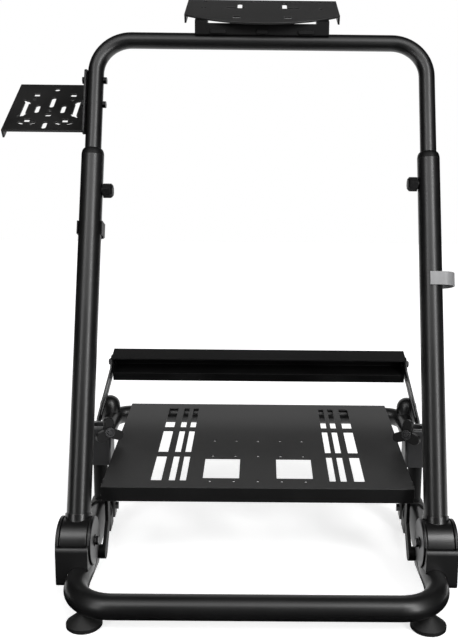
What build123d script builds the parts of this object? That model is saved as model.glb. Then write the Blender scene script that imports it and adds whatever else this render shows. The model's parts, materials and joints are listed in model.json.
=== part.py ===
"""Racing wheel stand: a folding steel-tube stand for a wheel, a shifter and a pedal unit.

Millimetres, +Z up. The driver sits on the -Y side and looks along +Y. The pieces are drawn with
the knuckle axis over Y = 0, then moved together so that the origin is the middle of the underside
of the whole stand's box.
"""

import os
from math import cos, radians, sin, tan

from build123d import *

os.makedirs("parts", exist_ok=True)

SIDES = {"l": -1, "r": 1}

# Clearances
weld_gap = 0.15
slide_gap = 0.3
pin_gap = 0.2
washer_gap = 0.5

# Uprights and the sliding U bar
upright_spacing = 540
upright_lean = 17.6
outer_d = 36
outer_wall = 1.5
outer_length = 580
inner_d = 26
inner_wall = 1.5
inner_overlap = 166
crossbar_reach = 798
u_bend = 57

# Knuckles
knuckle_z = 78
drum_r = 35
drum_core_r = 17
drum_width = 41
drum_chamfer = 1.5
drum_front = 105
drum_rear = 75
neck_d = 40
neck_reach = 40
socket_depth = 20
cheek_r = 36
cheek_thick = 2.5
cheek_rear = 42
cheek_round = 8
pin_d = 12
cover_r = 36
cover_thick = 2.5
web_thick = 4
web_front = 44
web_rise = 8
bracket_floor = 25

# Floor tube
floor_d = 35
floor_wall = 1.8
floor_z = 38
floor_front = 120
floor_rear = 239
floor_bend = 60
arm_inset = 7
arm_splay = 4.0

# Feet
foot_d = 50
foot_rim = 7
foot_lip = 2
foot_stem_d = 16
boot_wall = 3
boot_length = 38
boot_sole = 36
tab_thick = 4
tab_height = 34
tab_length = 26
hex_d = 14
hex_height = 5

# Pedal plate
pedal_inset = 25
pedal_length = 324
pedal_sheet = 2
pedal_flange = 25
pedal_side = 285
pedal_side_end = 10
pedal_tilt = 7.8
pedal_front_y = 52
pedal_front_z = 142
ear_r = 17
ear_back = 18
ear_drop = 15
pivot_d = 8
pivot_head_d = 20
pivot_head = 2.6
lug_thick = 5
lug_pad = 5.5
lug_r = 9
lug_root_r = 11
lug_root_z = 40
lug_elbow_z = 78

# Rear loop, its collar blocks and leg posts
leg_d = 25
leg_wall = 1.5
leg_y = 223
leg_top = 180
loop_d = 32
loop_wall = 1.6
loop_bend = 34
loop_rear = 368
loop_socket = 7
block_width = 44
block_depth = 44
block_low = 123
block_top = 190
block_round = 6
wing_span = 52
wing_lobe = 17
wing_droop = 20
wing_thick = 11
wing_hub_d = 20
wing_stem_d = 10
wing_stem = 8
wing_sink = 6
wing_inset = 16
wing_turn = 30
wing_rise = 10
wing_z = 184

# Stop bar
stop_sheet = 2.5
stop_depth = 33
stop_height = 30
stop_lip = 17
stop_tilt = 20
stop_front_y = 351
stop_z = 265
stop_arm_width = 26
stop_arm_thick = 3
stop_slot_width = 8.5
stop_slot_inset = 34
stop_inset = 16
stop_pad = 20
stop_bolt_y = 290
stop_bolt_d = 8

# Collars, knobs and clips on the uprights
collar_round = 4
collar_rise = 11
collar_sleeve = 40
knob_left_drop = 57
knob_right_drop = 41
knob_d = 24
knob_length = 15
knob_bevel = 3
knob_stem_d = 14
knob_stem = 1.5
clip_height = 21
clip_band = 2
clip_arm = 17
clip_grip = 5
clip_left_drop = 118
clip_right_drop = 197
clip_left_turn = 90
clip_right_turn = 0

# Shifter plate
shifter_sheet = 3
shifter_width = 146
shifter_depth = 155
shifter_tilt = 34.5
shifter_near_y = 223
shifter_near_z = 692
shifter_lip = 14
shifter_bolt_d = 6
shifter_bolt_reach = {"lower": 687, "upper": 728}
shifter_edge = 14
shifter_low = 630

# Hole field of the shifter plate, from the middle of its near edge
field_shift = -5
field_hole_d = 6
field_slot = 8
field_square = 10
field_eye_d = 10
field_eye_y = 137
field_square_x = 32
field_square_far = 118
field_square_near = 32
field_hole_x = 33
field_hole_y = 101
field_long_x = 44
field_long_y = 71.5
field_long = 52
field_flare = 12
field_flare_d = 5
field_flare_turn = 40
field_side_x = 22
field_side_y = 70
field_side = 26
field_middle_y = 92.5
field_middle = 34
field_pin_y = 65
field_oval_y = 50
field_oval = 12
field_heel_y = 17.5
field_heel = 22
field_toe_x = (21, 41)
field_toe_y = 23.5
field_toe = 12
field_toe_turn = 25

# Wheel plate and its bracket
deck_sheet = 3
deck_width = 256
deck_side = 95
deck_bulge = 45
deck_flange = 14
deck_flange_length = 80
deck_tilt = 25.7
deck_near_y = 247
deck_near_z = 882
deck_hole_d = 8
deck_hole_x = 98
deck_hole_near = 42
deck_hole_edge = 10
deck_slot = 8
deck_slot_x = 38
deck_slot_long = 30
deck_tee_x = 46
deck_tee_y = 46
deck_tee_long = 34
deck_square = 12
deck_square_x = 42
deck_square_y = -12
saddle_length = 218
saddle_width = 30
saddle_height = 13
saddle_lap = 5
post_width = 20
middle_post_width = 68

# Derived sizes
half = upright_spacing / 2
lean = radians(upright_lean)
outer_r = outer_d / 2
inner_r = inner_d / 2
floor_r = floor_d / 2
leg_r = leg_d / 2
loop_r = loop_d / 2
cheek_inner = drum_width / 2 + washer_gap
cheek_outer = cheek_inner + cheek_thick
socket_start = neck_reach - socket_depth
tube_top = socket_start + outer_length
arm_half = half - arm_inset
pedal_width = 2 * (half - pedal_inset)
inner_low = tube_top - inner_overlap

pieces = {}


def write(name, part):
    """Label a finished piece and keep it for export."""
    part.label = name
    pieces[name] = part


def along_upright(x, y, reach):
    """Point at a distance along the upright, with y square to it and away from the driver."""
    return Vector(x, reach * sin(lean) + y * cos(lean), knuckle_z + reach * cos(lean) - y * sin(lean))


def upright_plane(x, reach):
    """Plane square to the upright, at a distance along it."""
    return Plane(along_upright(x, 0, reach), x_dir=(1, 0, 0), z_dir=(0, sin(lean), cos(lean)))


def upright_section(x, reach):
    """Plane that holds the upright's axis, with its own y along the upright."""
    return Plane(along_upright(x, 0, reach), x_dir=(1, 0, 0), z_dir=(0, -cos(lean), sin(lean)))


def side_plane(x):
    """Plane facing +X, whose own x and y run along +Y and +Z."""
    return Plane((x, 0, 0), x_dir=(0, 1, 0), z_dir=(1, 0, 0))


def cross_plane(point):
    """Plane facing +X through a point, for rods and holes across the stand."""
    return Plane(point, x_dir=(0, 1, 0), z_dir=(1, 0, 0))


def bent_tube(points, bend, outer, wall=0.0):
    """Round tube along straight runs joined by bends, or a solid rod where it has no wall."""
    with BuildPart() as tube:
        with BuildLine() as route:
            FilletPolyline(*points, radius=bend)
        with BuildSketch(Plane(route.line @ 0, z_dir=route.line % 0)):
            Circle(outer / 2)
            if wall:
                Circle(outer / 2 - wall, mode=Mode.SUBTRACT)
        sweep(path=route.line)
    return tube.part


# Floor tube: a U of one bent tube, open to the rear and splayed a little
def arm_x(y):
    """Half distance between the floor tube's arms at a place along the stand."""
    return arm_half + y * tan(radians(arm_splay))


def floor_points():
    """Corners of the floor tube's route."""
    left = [(-arm_x(floor_rear), floor_rear, floor_z), (-arm_x(-floor_front), -floor_front, floor_z)]
    return left + [(-x, y, z) for x, y, z in reversed(left)]


leg_x = arm_x(leg_y)
floor_rod = bent_tube(floor_points(), floor_bend, floor_d + 2 * weld_gap)
write("floor_tube", bent_tube(floor_points(), floor_bend, floor_d, floor_wall))


# Knuckles: a bracket on the floor tube, a drum on the upright and a pin with cover discs
def knuckle_bracket(side):
    """Two round cheeks and a front web, notched over the floor tube."""
    x = side * half
    with BuildPart() as bracket:
        with BuildSketch(side_plane(x - cheek_outer)):
            with BuildSketch(mode=Mode.PRIVATE) as foot:
                with Locations(((cheek_rear - web_front) / 2, (knuckle_z + web_rise + bracket_floor) / 2)):
                    RectangleRounded(
                        web_front + cheek_rear, knuckle_z + web_rise - bracket_floor, cheek_round
                    )
            add(foot.sketch)
            with Locations((0, knuckle_z)):
                Circle(cheek_r)
        extrude(amount=2 * cheek_outer)
        with BuildSketch(side_plane(x - cheek_inner)):
            with Locations((web_thick - web_front, 0)):
                Rectangle(3 * cheek_r, 3 * knuckle_z, align=(Align.MIN, Align.MIN))
        extrude(amount=2 * cheek_inner, mode=Mode.SUBTRACT)
        with Locations(cross_plane((x, 0, knuckle_z))):
            Cylinder(pin_d / 2 + weld_gap, 4 * cheek_outer, mode=Mode.SUBTRACT)
        add(floor_rod, mode=Mode.SUBTRACT)
    return bracket.part


def knuckle_pin(side):
    """Hinge pin with a domed cover disc over each cheek."""
    seat = cheek_outer + weld_gap
    rim = seat + cover_thick / 2
    face = seat + cover_thick
    with BuildPart() as pin:
        with BuildSketch(Plane((side * half, 0, knuckle_z), x_dir=(1, 0, 0), z_dir=(0, -1, 0))):
            with BuildLine():
                Polyline((0, 0), (face, 0), (face, cover_r - cover_thick))
                RadiusArc((face, cover_r - cover_thick), (rim, cover_r), -2 * cover_thick)
                Polyline((rim, cover_r), (seat, cover_r), (seat, pin_d / 2), (0, pin_d / 2), (0, 0))
            make_face()
            mirror(about=Plane.YZ)
        revolve(axis=Axis((side * half, 0, knuckle_z), (1, 0, 0)))
    return pin.part


def knuckle_drum(side):
    """Moulded drum, cut back over the floor tube, with a socket for the upright."""
    x = side * half
    with BuildPart() as drum:
        with BuildSketch(side_plane(x - drum_width / 2)):
            with BuildLine():
                first = 90 - upright_lean - drum_rear
                rim = CenterArc((0, knuckle_z), drum_r, first, drum_rear + drum_front)
                Polyline(rim @ 1, (0, knuckle_z), rim @ 0)
            make_face()
            with Locations((0, knuckle_z)):
                Circle(drum_core_r)
        extrude(amount=drum_width)
        chamfer(drum.edges().filter_by(GeomType.CIRCLE).sort_by(SortBy.RADIUS)[-2:], length=drum_chamfer)
        with BuildSketch(upright_plane(x, 0)):
            Circle(neck_d / 2)
        extrude(amount=neck_reach)
        with BuildSketch(upright_plane(x, socket_start)):
            Circle(outer_r + weld_gap)
        extrude(amount=socket_depth, mode=Mode.SUBTRACT)
        with Locations(cross_plane((x, 0, knuckle_z))):
            Cylinder(pin_d / 2 + pin_gap, 2 * drum_width, mode=Mode.SUBTRACT)
    return drum.part


for tag, side in SIDES.items():
    write(f"knuckle_bracket_{tag}", knuckle_bracket(side))
    write(f"knuckle_pin_{tag}", knuckle_pin(side))
    write(f"knuckle_drum_{tag}", knuckle_drum(side))


# Feet: cones under the front bends, and boots with a bolted tab on the arms' rear ends
def front_foot(side):
    """Rubber cone foot on a short stem, under the middle of a front bend."""
    corner = radians(90 + arm_splay) / 2
    setback = floor_bend * (1 / sin(corner) - 1)
    x = side * (arm_x(-floor_front) - setback * cos(corner))
    y = setback * sin(corner) - floor_front
    with BuildPart() as foot:
        with BuildSketch(Plane((x, y, 0), x_dir=(1, 0, 0), z_dir=(0, -1, 0))):
            with BuildLine():
                Polyline(
                    (0, 0),
                    (foot_d / 2 - foot_lip, 0),
                    (foot_d / 2, foot_lip),
                    (foot_d / 2, foot_rim),
                    (foot_stem_d / 2, floor_z - floor_r),
                    (foot_stem_d / 2, floor_z),
                    (0, floor_z),
                    (0, 0),
                )
            make_face()
        revolve(axis=Axis((x, y, 0), (0, 0, 1)))
        add(floor_rod, mode=Mode.SUBTRACT)
        foot.part = foot.part.solids().sort_by(Axis.Z)[0]
    return foot.part


def boot_plane(side):
    """Plane square to a floor arm at its rear end, with its own y along +Z."""
    splay = radians(arm_splay)
    end = (side * arm_x(floor_rear), floor_rear, floor_z)
    return Plane(end, x_dir=(-cos(splay), side * sin(splay), 0), z_dir=(side * sin(splay), cos(splay), 0))


def rear_boot(side):
    """Rubber boot with a flat sole that closes the arm's end and takes the leg post."""
    with BuildPart() as boot:
        with BuildSketch(boot_plane(side).offset(-boot_length)):
            Circle(floor_r + boot_wall)
            with Locations((0, -floor_z)):
                Rectangle(boot_sole, floor_z, align=(Align.CENTER, Align.MIN))
        extrude(amount=boot_length + boot_wall)
        with BuildSketch(boot_plane(side).offset(-boot_length)):
            Circle(floor_r + weld_gap)
        extrude(amount=boot_length, mode=Mode.SUBTRACT)
        with Locations((side * leg_x, leg_y, floor_z)):
            bore = (Align.CENTER, Align.CENTER, Align.MIN)
            Cylinder(leg_r + weld_gap, floor_d, align=bore, mode=Mode.SUBTRACT)
    return boot.part


def boot_tab(side):
    """Steel tab with a hex bolt on the inner side of a boot."""
    inner = side * (floor_r + boot_wall + weld_gap)
    with BuildPart() as tab:
        with BuildSketch(boot_plane(side)):
            with Locations((inner + side * tab_thick / 2, 0)):
                Rectangle(tab_thick, tab_height)
        extrude(amount=-tab_length)
        head = boot_plane(side).from_local_coords(Vector(inner + side * tab_thick, 0, -tab_length / 2))
        with BuildSketch(Plane(head, x_dir=(0, 0, 1), z_dir=boot_plane(side).x_dir * side)):
            RegularPolygon(hex_d / 2, 6)
        extrude(amount=hex_height)
    return tab.part


def leg_post(side):
    """Upright post saddled on the floor arm."""
    with BuildPart() as leg:
        with BuildSketch(Plane((side * leg_x, leg_y, floor_z))):
            Circle(leg_r)
            Circle(leg_r - leg_wall, mode=Mode.SUBTRACT)
        extrude(amount=leg_top - floor_z)
        add(floor_rod, mode=Mode.SUBTRACT)
    return leg.part


for tag, side in SIDES.items():
    write(f"front_foot_{tag}", front_foot(side))
    write(f"rear_boot_{tag}", rear_boot(side))
    write(f"boot_tab_{tag}", boot_tab(side))
    write(f"leg_post_{tag}", leg_post(side))

# Pedal plate: a folded sheet with two front ears, slots for pedal units and two heel windows
pedal_slope = radians(pedal_tilt)
pedal_plane = Plane(
    (0, pedal_front_y, pedal_front_z),
    x_dir=(1, 0, 0),
    z_dir=(0, -sin(pedal_slope), cos(pedal_slope)),
)


def on_pedal(x, y, z):
    """Point given on the pedal plate: across, back from its front edge and up from its top."""
    return pedal_plane.from_local_coords(Vector(x, y, z))


slot_rows = (65, 163, 261)
slot_columns = (119, 136.5, 161.5)
slot_widths = (10, 10, 17)
slot_length = 84
window_y = 65
window_x = 59
window_size = (58, 68)
hole_rows = (22, 108, 165)
hole_columns = (0, 38, 76)
hole_d = 5

with BuildPart() as pedal_plate:
    with BuildSketch(pedal_plane):
        Rectangle(pedal_width, pedal_length, align=(Align.CENTER, Align.MIN))
        for row in slot_rows:
            for column, width in zip(slot_columns, slot_widths):
                with Locations((column, row), (-column, row)):
                    Rectangle(width, slot_length, mode=Mode.SUBTRACT)
        with Locations((window_x, window_y), (-window_x, window_y)):
            Rectangle(*window_size, mode=Mode.SUBTRACT)
        for row in hole_rows:
            for column in hole_columns:
                with Locations(*{(column, row), (-column, row)}):
                    Circle(hole_d / 2, mode=Mode.SUBTRACT)
    extrude(amount=-pedal_sheet)
    with BuildSketch(pedal_plane):
        Rectangle(pedal_width, pedal_sheet, align=(Align.CENTER, Align.MIN))
    extrude(amount=-pedal_flange)
    for side in SIDES.values():
        edge = on_pedal(side * pedal_width / 2, 0, 0)
        with BuildSketch(Plane(edge, x_dir=pedal_plane.y_dir, z_dir=(1, 0, 0))):
            with BuildLine():
                Polyline(
                    (0, 0),
                    (pedal_side, 0),
                    (pedal_side, -pedal_side_end),
                    (2 * ear_back, -pedal_flange),
                    (0, -pedal_flange),
                    close=True,
                )
            make_face()
            with Locations((ear_back, -ear_drop)):
                Circle(ear_r)
                Circle(pivot_d / 2 + pin_gap, mode=Mode.SUBTRACT)
        extrude(amount=-side * pedal_sheet)
write("pedal_plate", pedal_plate.part)


def pedal_lug(side):
    """Cranked steel lug from a pad on the bracket's inner cheek up to the pedal pivot."""
    pivot = on_pedal(0, ear_back, -ear_drop)
    inner = half - cheek_outer - weld_gap - lug_pad
    with BuildPart() as lug:
        with BuildSketch(side_plane(side * inner)):
            with Locations((pivot.Y, pivot.Z), (pivot.Y, lug_elbow_z)):
                Circle(lug_r)
            make_hull()
            with BuildSketch(mode=Mode.PRIVATE) as foot:
                with Locations((pivot.Y, lug_elbow_z)):
                    Circle(lug_r)
                with Locations((cheek_rear, lug_root_z)):
                    Circle(lug_root_r)
                make_hull()
            add(foot.sketch)
            with Locations((pivot.Y, pivot.Z)):
                Circle(pivot_d / 2 + weld_gap, mode=Mode.SUBTRACT)
        extrude(amount=-side * lug_thick)
        with BuildSketch(side_plane(side * inner)):
            with Locations((cheek_rear, lug_root_z)):
                Circle(lug_root_r)
        extrude(amount=side * lug_pad)
        add(floor_rod, mode=Mode.SUBTRACT)
    return lug.part


def pedal_pivot(side):
    """Pivot bolt through the plate's ear and the lug, with a spacer and a nut."""
    pivot = on_pedal(0, ear_back, -ear_drop)
    outer = pedal_width / 2 + weld_gap
    inner = half - cheek_outer - weld_gap - lug_pad
    nut = inner - lug_thick - weld_gap
    with BuildPart() as bolt:
        with BuildSketch(cross_plane((side * outer, pivot.Y, pivot.Z))):
            Circle(pivot_head_d / 2)
        extrude(amount=side * pivot_head)
        with BuildSketch(cross_plane((side * outer, pivot.Y, pivot.Z))):
            Circle(pivot_d / 2)
        extrude(amount=side * (nut - outer))
        with BuildSketch(cross_plane((side * (inner + weld_gap), pivot.Y, pivot.Z))):
            Circle(pivot_d)
        extrude(amount=side * (pedal_width / 2 - pedal_sheet - inner - 2 * weld_gap))
        with BuildSketch(cross_plane((side * nut, pivot.Y, pivot.Z))):
            RegularPolygon(pivot_d, 6)
        extrude(amount=-side * hex_height)
    return bolt.part


for tag, side in SIDES.items():
    write(f"pedal_lug_{tag}", pedal_lug(side))
    write(f"pedal_pivot_{tag}", pedal_pivot(side))


# Uprights: outer tubes with a collar, a height knob and a cable clip each
def upright_tube(side):
    """Outer tube, seated in the drum's socket."""
    with BuildPart() as tube:
        with BuildSketch(upright_plane(side * half, socket_start)):
            Circle(outer_r)
            Circle(outer_r - outer_wall, mode=Mode.SUBTRACT)
        extrude(amount=outer_length)
    return tube.part


def tube_collar(side):
    """Moulded collar with a domed head, which caps the outer tube and guides the inner one."""
    bore = inner_r + slide_gap
    sleeve = outer_r - outer_wall - weld_gap
    crown = outer_r - collar_round
    with BuildPart() as collar:
        with BuildSketch(upright_section(side * half, tube_top + weld_gap)):
            with BuildLine():
                Polyline(
                    (crown, collar_rise),
                    (bore, collar_rise),
                    (bore, -collar_sleeve),
                    (sleeve, -collar_sleeve),
                    (sleeve, 0),
                    (outer_r, 0),
                )
                EllipticalCenterArc((crown, 0), collar_round, collar_rise, arc_size=90)
            make_face()
        revolve(axis=Axis(along_upright(side * half, 0, tube_top), (0, sin(lean), cos(lean))))
    return collar.part


def height_knob(side, reach):
    """Faceted knob whose screw clamps the inner tube, on the inner side of an upright."""
    seat = along_upright(side * (half - inner_r), 0, reach)
    stem = outer_r - inner_r + knob_stem
    with BuildPart() as knob:
        with BuildSketch(Plane(seat, x_dir=(0, cos(lean), -sin(lean)), z_dir=(-side, 0, 0))):
            Circle(knob_stem_d / 2)
        extrude(amount=stem)
        with BuildSketch(Plane(seat, x_dir=(0, cos(lean), -sin(lean)), z_dir=(-side, 0, 0)).offset(stem)):
            RegularPolygon(knob_d / 2, 8)
        extrude(amount=knob_length)
        chamfer(knob.faces().sort_by(Axis.X)[-1 if side < 0 else 0].edges(), length=knob_bevel)
        with BuildSketch(upright_plane(side * half, reach - knob_d)):
            Circle(outer_r + weld_gap)
        extrude(amount=2 * knob_d, mode=Mode.SUBTRACT)
    return knob.part


def cable_clip(side, reach, turn):
    """Sprung U clip pushed on an upright, with room for a cable in its closed end."""
    inner = outer_r + weld_gap
    turn = radians(turn)
    low = upright_plane(side * half, reach - clip_height / 2)
    closed_end = low.x_dir * cos(turn) + low.y_dir * sin(turn)
    with BuildPart() as clip:
        with BuildSketch(Plane(low.origin, x_dir=closed_end, z_dir=low.z_dir)):
            for size, mode in ((inner + clip_band, Mode.ADD), (inner, Mode.SUBTRACT)):
                with Locations((-clip_grip, 0)):
                    Rectangle(clip_grip + clip_arm, 2 * size, align=(Align.MIN, Align.CENTER), mode=mode)
                with Locations((clip_arm, 0)):
                    Circle(size, mode=mode)
        extrude(amount=clip_height)
    return clip.part


for tag, side in SIDES.items():
    write(f"upright_tube_{tag}", upright_tube(side))
    write(f"tube_collar_{tag}", tube_collar(side))

write("height_knob_l", height_knob(SIDES["l"], tube_top - knob_left_drop))
write("height_knob_r", height_knob(SIDES["r"], tube_top - knob_right_drop))
write("cable_clip_l", cable_clip(SIDES["l"], tube_top - clip_left_drop, clip_left_turn))
write("cable_clip_r", cable_clip(SIDES["r"], tube_top - clip_right_drop, clip_right_turn))

# U bar: one bent inner tube, drilled for the shifter bolts
u_points = [
    along_upright(-half, 0, inner_low),
    along_upright(-half, 0, crossbar_reach),
    along_upright(half, 0, crossbar_reach),
    along_upright(half, 0, inner_low),
]

with BuildPart() as u_bar:
    add(bent_tube(u_points, u_bend, inner_d, inner_wall))
    for reach in shifter_bolt_reach.values():
        with Locations(cross_plane(along_upright(-half, 0, reach))):
            Cylinder(shifter_bolt_d / 2 + weld_gap, 2 * inner_d, mode=Mode.SUBTRACT)
write("u_bar", u_bar.part)

# Shifter plate: a tilted sheet with a hole field, a side gusset on the tube and an outer lip
shifter_slope = radians(shifter_tilt)
shifter_inner = half + inner_r + weld_gap
shifter_plane = Plane(
    (-shifter_inner, shifter_near_y, shifter_near_z),
    x_dir=(1, 0, 0),
    z_dir=(0, -sin(shifter_slope), cos(shifter_slope)),
)

with BuildPart() as shifter_plate:
    with BuildSketch(shifter_plane):
        Rectangle(shifter_width, shifter_depth, align=(Align.MAX, Align.MIN))
        with Locations((field_shift - shifter_width / 2, 0)):
            with Locations((0, field_eye_y)):
                Circle(field_eye_d / 2, mode=Mode.SUBTRACT)
            with Locations((0, field_middle_y)):
                SlotOverall(field_middle, field_slot, rotation=90, mode=Mode.SUBTRACT)
            with Locations((0, field_pin_y)):
                Circle(field_hole_d / 2, mode=Mode.SUBTRACT)
            with Locations((0, field_oval_y)):
                SlotOverall(field_oval, field_slot, mode=Mode.SUBTRACT)
            with Locations((0, field_heel_y)):
                SlotOverall(field_heel, field_slot, rotation=90, mode=Mode.SUBTRACT)
            for flank in SIDES.values():
                square_x = field_square_x * flank
                with Locations((square_x, field_square_far), (square_x, field_square_near)):
                    Rectangle(field_square, field_square, mode=Mode.SUBTRACT)
                with Locations((field_hole_x * flank, field_hole_y)):
                    Circle(field_hole_d / 2, mode=Mode.SUBTRACT)
                with Locations((field_side_x * flank, field_side_y)):
                    SlotOverall(field_side, field_slot, rotation=90, mode=Mode.SUBTRACT)
                with Locations((field_long_x * flank, field_long_y)):
                    SlotOverall(field_long, field_slot, rotation=90, mode=Mode.SUBTRACT)
                for end in SIDES.values():
                    flare_y = field_long_y + end * (field_long - field_slot) / 2
                    with Locations((field_long_x * flank, flare_y)):
                        SlotOverall(
                            field_flare + field_slot,
                            field_flare_d,
                            rotation=flank * end * field_flare_turn,
                            mode=Mode.SUBTRACT,
                        )
                for toe, turn in zip(field_toe_x, (field_toe_turn, -field_toe_turn)):
                    with Locations((toe * flank, field_toe_y)):
                        SlotOverall(field_toe, field_hole_d, rotation=-flank * turn, mode=Mode.SUBTRACT)
    extrude(amount=-shifter_sheet)
    with BuildSketch(shifter_plane):
        with Locations((-shifter_width, 0)):
            Rectangle(shifter_sheet, shifter_depth, align=(Align.MIN, Align.MIN))
    extrude(amount=-shifter_lip)
    with BuildSketch(side_plane(-shifter_inner)) as gusset:
        low = along_upright(0, -shifter_edge, shifter_low)
        high = along_upright(0, -shifter_edge, shifter_bolt_reach["upper"] + shifter_edge)
        near = shifter_plane.from_local_coords(Vector(0, 0, -shifter_sheet))
        far = shifter_plane.from_local_coords(Vector(0, shifter_depth, 0))
        Polygon((low.Y, low.Z), (near.Y, near.Z), (far.Y, far.Z), (high.Y, high.Z), align=None)
        fillet(gusset.vertices().sort_by(Axis.X)[:2], radius=shifter_edge / 2)
        for reach in shifter_bolt_reach.values():
            with Locations((along_upright(0, 0, reach).Y, along_upright(0, 0, reach).Z)):
                Circle(shifter_bolt_d / 2 + weld_gap, mode=Mode.SUBTRACT)
    extrude(amount=-shifter_sheet)
write("shifter_plate", shifter_plate.part)


def shifter_bolt(reach):
    """Hex bolt through the inner tube and the shifter plate's gusset, with its nut."""
    head = along_upright(-half + inner_r + weld_gap, 0, reach)
    nut = along_upright(-shifter_inner - shifter_sheet - weld_gap, 0, reach)
    with BuildPart() as bolt:
        with BuildSketch(cross_plane(head)):
            Circle(shifter_bolt_d / 2)
        extrude(amount=nut.X - head.X)
        for seat, way in ((head, 1), (nut, -1)):
            with BuildSketch(cross_plane(seat)):
                RegularPolygon(shifter_bolt_d, 6)
            extrude(amount=way * hex_height)
    return bolt.part


for place, reach in shifter_bolt_reach.items():
    write(f"shifter_bolt_{place}", shifter_bolt(reach))

# Wheel plate: a tilted sheet with a bowed near edge, on a bracket saddled over the crossbar
deck_slope = radians(deck_tilt)
deck_plane = Plane(
    (0, deck_near_y, deck_near_z),
    x_dir=(1, 0, 0),
    z_dir=(0, -sin(deck_slope), cos(deck_slope)),
)
crossbar = along_upright(0, 0, crossbar_reach)

with BuildPart() as wheel_plate:
    with BuildSketch(deck_plane):
        with BuildLine():
            Polyline(
                (-deck_width / 2, 0),
                (-deck_width / 2, deck_side),
                (deck_width / 2, deck_side),
                (deck_width / 2, 0),
            )
            ThreePointArc((deck_width / 2, 0), (0, -deck_bulge), (-deck_width / 2, 0))
        make_face()
        far_row = deck_side - deck_hole_edge
        with Locations((0, far_row)):
            Circle(deck_hole_d / 2, mode=Mode.SUBTRACT)
        for flank in SIDES.values():
            with Locations((deck_hole_x * flank, far_row), (deck_hole_x * flank, deck_hole_near)):
                Circle(deck_hole_d / 2, mode=Mode.SUBTRACT)
            with Locations((deck_slot_x * flank, deck_tee_y + deck_slot_long / 2)):
                SlotOverall(deck_slot_long, deck_slot, rotation=90, mode=Mode.SUBTRACT)
            with Locations((deck_tee_x * flank, deck_tee_y)):
                SlotOverall(deck_tee_long, deck_slot, mode=Mode.SUBTRACT)
            with Locations((deck_square_x * flank, deck_square_y)):
                Rectangle(deck_square, deck_square, mode=Mode.SUBTRACT)
    extrude(amount=-deck_sheet)
    for flank in SIDES.values():
        with BuildSketch(deck_plane):
            with Locations((flank * (deck_width - deck_sheet) / 2, 0)):
                Rectangle(deck_sheet, deck_flange_length, align=(Align.CENTER, Align.MIN))
        extrude(amount=-deck_flange)
write("wheel_plate", wheel_plate.part)

with BuildPart() as wheel_bracket:
    saddle_top = crossbar.Z + inner_r + slide_gap + saddle_height
    with BuildSketch(side_plane(-saddle_length / 2)):
        with Locations((crossbar.Y, saddle_top)):
            Rectangle(saddle_width, saddle_height + saddle_lap, align=(Align.CENTER, Align.MAX))
    extrude(amount=saddle_length)
    posts = (
        (-(saddle_length - post_width) / 2, post_width),
        (0, middle_post_width),
        ((saddle_length - post_width) / 2, post_width),
    )
    for x, width in posts:
        with BuildSketch(Plane((x, crossbar.Y, saddle_top))):
            Rectangle(width, saddle_width)
        extrude(amount=deck_near_z - saddle_top)
    split(bisect_by=deck_plane.offset(-deck_sheet - weld_gap), keep=Keep.BOTTOM)
    with Locations(cross_plane(crossbar)):
        Cylinder(inner_r + slide_gap, 2 * saddle_length, mode=Mode.SUBTRACT)
write("wheel_bracket", wheel_bracket.part)

# Rear loop: a bent tube under the pedal plate's rear edge, on collar blocks that slide on the legs
loop_front = leg_y + block_depth / 2 - loop_socket
loop_z = on_pedal(0, 0, 0).Z + (
    (loop_rear - pedal_front_y) * sin(pedal_slope) - pedal_sheet - slide_gap - loop_r
) / cos(pedal_slope)
loop_front_z = loop_z - (loop_rear - loop_front) * tan(pedal_slope)
loop_points = [
    (-leg_x, loop_front, loop_front_z),
    (-leg_x, loop_rear, loop_z),
    (leg_x, loop_rear, loop_z),
    (leg_x, loop_front, loop_front_z),
]
loop_rod = bent_tube(loop_points, loop_bend, loop_d + 2 * weld_gap)
write("rear_loop", bent_tube(loop_points, loop_bend, loop_d, loop_wall))


def wing_plane(side):
    """Plane square to a wing knob's screw, at the front face of its collar block."""
    turn = radians(wing_turn)
    rise = radians(wing_rise)
    way = Vector(-side * sin(turn) * cos(rise), -cos(turn) * cos(rise), sin(rise))
    seat = (side * (leg_x - wing_inset), leg_y - block_depth / 2, wing_z)
    return Plane(seat, x_dir=Vector(0, 0, 1).cross(way), z_dir=way)


def collar_block(side):
    """Moulded block with a bore for the leg, a socket for the loop and a hole for the knob."""
    with BuildPart() as block:
        with BuildSketch(Plane((side * leg_x, leg_y, block_low))):
            RectangleRounded(block_width, block_depth, block_round)
        extrude(amount=block_top - block_low)
        fillet(block.faces().sort_by(Axis.Z)[-1].edges(), radius=block_round / 2)
        with Locations((side * leg_x, leg_y, block_low)):
            Cylinder(leg_r + slide_gap, 3 * block_top, mode=Mode.SUBTRACT)
        add(loop_rod, mode=Mode.SUBTRACT)
        with BuildSketch(wing_plane(side).offset(wing_stem)):
            Circle(wing_stem_d / 2 + pin_gap)
        extrude(amount=-wing_stem - wing_sink, mode=Mode.SUBTRACT)
    return block.part


def wing_knob(side):
    """Two-lobed clamping knob on a short screw stem."""
    with BuildPart() as knob:
        with BuildSketch(wing_plane(side).offset(-wing_sink)):
            Circle(wing_stem_d / 2)
        extrude(amount=wing_sink + wing_stem)
        with BuildSketch(wing_plane(side).offset(wing_stem)):
            Circle(wing_hub_d / 2)
            for flank in SIDES.values():
                with Locations((flank * (wing_span - wing_lobe) / 4, -wing_lobe / 4)):
                    SlotOverall(wing_span / 2 + wing_lobe / 4, wing_lobe, rotation=-flank * wing_droop)
        extrude(amount=wing_thick)
    return knob.part


def stop_point(along, up):
    """Y and Z of a point on the stop bar's section, from the middle of its open side."""
    tilt = radians(stop_tilt)
    return (
        stop_front_y + along * cos(tilt) - up * sin(tilt),
        stop_z + along * sin(tilt) + up * cos(tilt),
    )


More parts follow.
